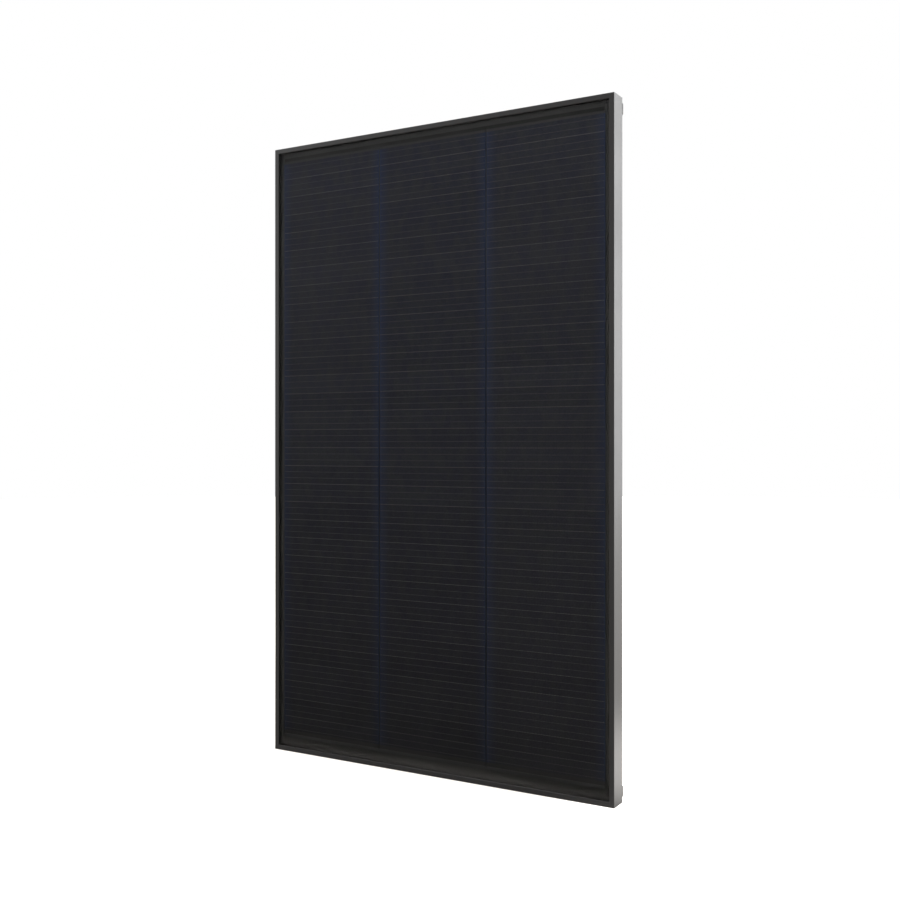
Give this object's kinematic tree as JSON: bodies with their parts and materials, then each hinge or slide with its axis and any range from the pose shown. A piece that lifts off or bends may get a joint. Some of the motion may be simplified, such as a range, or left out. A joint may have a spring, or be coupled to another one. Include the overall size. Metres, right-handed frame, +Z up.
{
  "type": "solar panel",
  "caption": "Small rigid solar panel: all-black framed laminate of shingled cells, with a lidded junction box, two cable glands and mounting holes behind.",
  "frame": {"origin": "centre of the four mounting holes, on the rear face of the frame's flange", "axes": "+Z up along the panel's long side, +X to the right seen from the glass side, glass facing -Y"},
  "size_m": [0.58, 0.0348, 0.96],
  "materials": {
    "black_anodised": "satin black anodised",
    "mill_aluminium": "mill finish",
    "black_silicone": "cured silicone sealant",
    "black_rubber": "soft black rubber",
    "solar_glass": "low-iron tempered glass, lightly textured",
    "clear_film": "clear laminating film",
    "black_backsheet": "matt black film",
    "silicon_cell": "dark blue-black coated silicon",
    "silver_adhesive": "silver-filled adhesive",
    "black_ribbon": "black-coated copper ribbon",
    "tinned_ribbon": "tinned copper",
    "white_insulation": "white film",
    "black_box_plastic": "fine-grained moulded plastic",
    "black_gland_plastic": "moulded nylon",
    "grey_vent_plastic": "moulded nylon",
    "steel_pin": "turned stainless steel",
    "tinned_brass": "tinned brass",
    "diode_resin": "moulded epoxy",
    "silver_label": "blank matt silver film"
  },
  "bodies": {
    "panel": {"backsheet": "black_backsheet", "box_adhesive": "black_silicone", "breather_vent": "grey_vent_plastic", "busbar_bottom": "black_ribbon", "busbar_top": "black_ribbon", "bypass_diode": "diode_resin", "cell_string_centre": "silicon_cell", "cell_string_left": "silicon_cell", "cell_string_right": "silicon_cell", "corner_key_bottom_left": "mill_aluminium", "corner_key_bottom_right": "mill_aluminium", "corner_key_top_left": "mill_aluminium", "corner_key_top_right": "mill_aluminium", "corner_pad_bottom_left": "black_rubber", "corner_pad_bottom_right": "black_rubber", "corner_pad_top_left": "black_rubber", "corner_pad_top_right": "black_rubber", "encapsulant_front": "clear_film", "encapsulant_rear": "clear_film", "frame_bottom": "black_anodised", "frame_left": "black_anodised", "frame_right": "black_anodised", "frame_top": "black_anodised", "front_glass": "solar_glass", "gland_body_negative": "black_gland_plastic", "gland_body_positive": "black_gland_plastic", "gland_locknut_negative": "black_gland_plastic", "gland_locknut_positive": "black_gland_plastic", "gland_nut_negative": "black_gland_plastic", "gland_nut_positive": "black_gland_plastic", "gland_seal_negative": "black_rubber", "gland_seal_positive": "black_rubber", "insulation_negative": "white_insulation", "insulation_positive": "white_insulation", "junction_box_base": "black_box_plastic", "lead_negative": "tinned_ribbon", "lead_positive": "tinned_ribbon", "lid_gasket": "black_rubber", "lid_hinge_pin": "steel_pin", "rating_plate": "silver_label", "sealant_bottom": "black_silicone", "sealant_left": "black_silicone", "sealant_right": "black_silicone", "sealant_top": "black_silicone", "shingle_bonds_centre": "silver_adhesive", "shingle_bonds_left": "silver_adhesive", "shingle_bonds_right": "silver_adhesive", "terminal_negative": "tinned_brass", "terminal_positive": "tinned_brass", "terminal_screws": "tinned_brass"},
    "box_lid": {"junction_box_lid": "black_box_plastic"}
  },
  "joints": [
    {"name": "lid_hinge", "type": "hinge", "parent": "panel", "child": "box_lid", "pos_m": [0, -0.00545, 0.4181], "axis": [1, 0, 0], "range_deg": [0, 115]}
  ]
}
